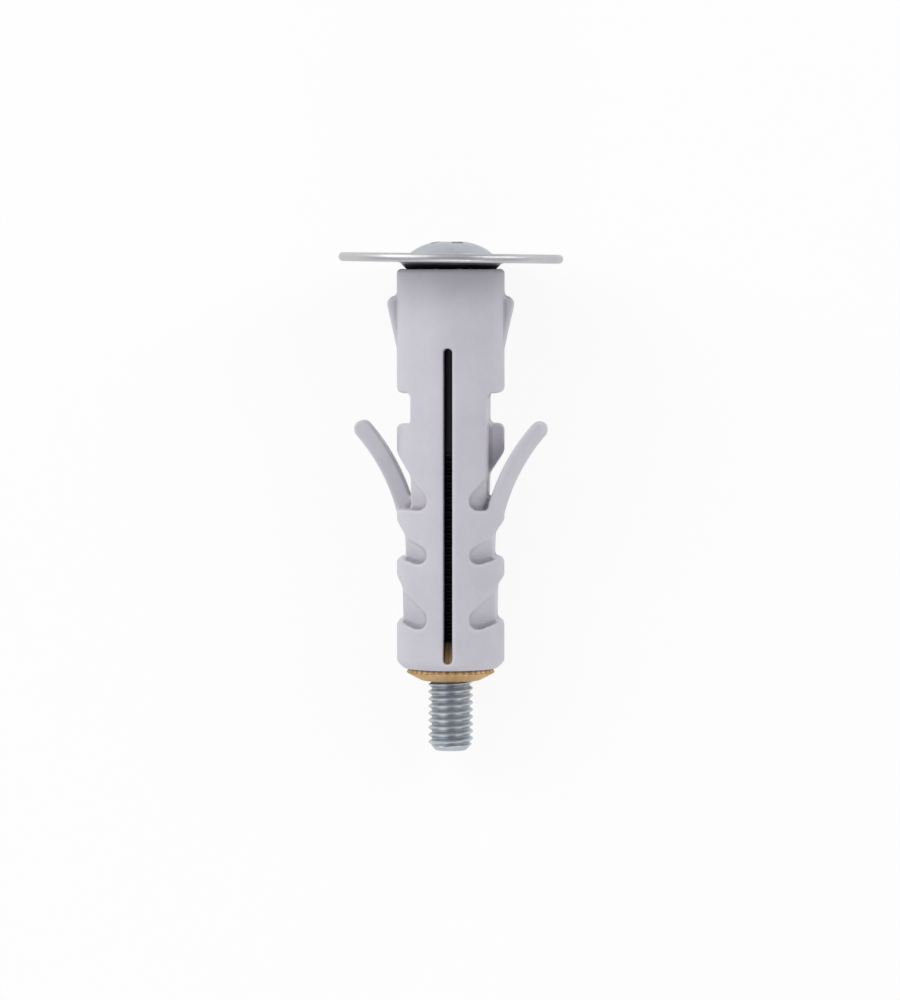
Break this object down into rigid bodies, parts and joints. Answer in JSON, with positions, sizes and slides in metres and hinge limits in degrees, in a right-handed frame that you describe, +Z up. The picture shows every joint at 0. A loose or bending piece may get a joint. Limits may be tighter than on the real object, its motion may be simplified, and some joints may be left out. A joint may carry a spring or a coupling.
{
  "type": "wall plug with screw",
  "caption": "Expansion wall plug with curved anti-pull-out wings, cone nut, machine screw and countersunk disc washer, for clamping a fitting to a drilled wall.",
  "frame": {"origin": "on the floor under the middle of the part's bounding box, with the part lying on its side on the disc washer's rim and the sleeve's lower edge", "axes": "+Y along the part towards the screw's head, +Z up, +X across, through both wings"},
  "size_m": [0.025, 0.0568, 0.0247],
  "materials": {
    "grey_nylon": "satin moulded nylon, light grey",
    "zinc_plated_steel": "bright zinc plating, faintly blue",
    "zinc_plated_sheet": "bright zinc plating",
    "brass": "turned and knurled, bare"
  },
  "bodies": {
    "plug": {"sleeve": "grey_nylon"},
    "screw": {"screw": "zinc_plated_steel"},
    "washer": {"disc_washer": "zinc_plated_sheet"},
    "nut": {"cone_nut": "brass"}
  },
  "joints": [
    {"name": "screw_turn", "type": "hinge", "parent": "plug", "child": "screw", "pos_m": [0, 0.02499, 0.0122], "axis": [0, 0.9897, 0.1431], "range_deg": [0, 3241]},
    {"name": "nut_travel", "type": "slide", "parent": "plug", "child": "nut", "axis": [0, -0.9897, -0.1431], "range_m": [0, 0.0072]},
    {"name": "washer_spin", "type": "hinge", "parent": "plug", "child": "washer", "pos_m": [0, 0.02499, 0.0122], "axis": [0.0122, 0.9897, 0.1426], "continuous": true}
  ],
  "couplings": [
    {"joint": "screw_turn", "follows": "nut_travel", "rad_per_m": 7854}
  ]
}
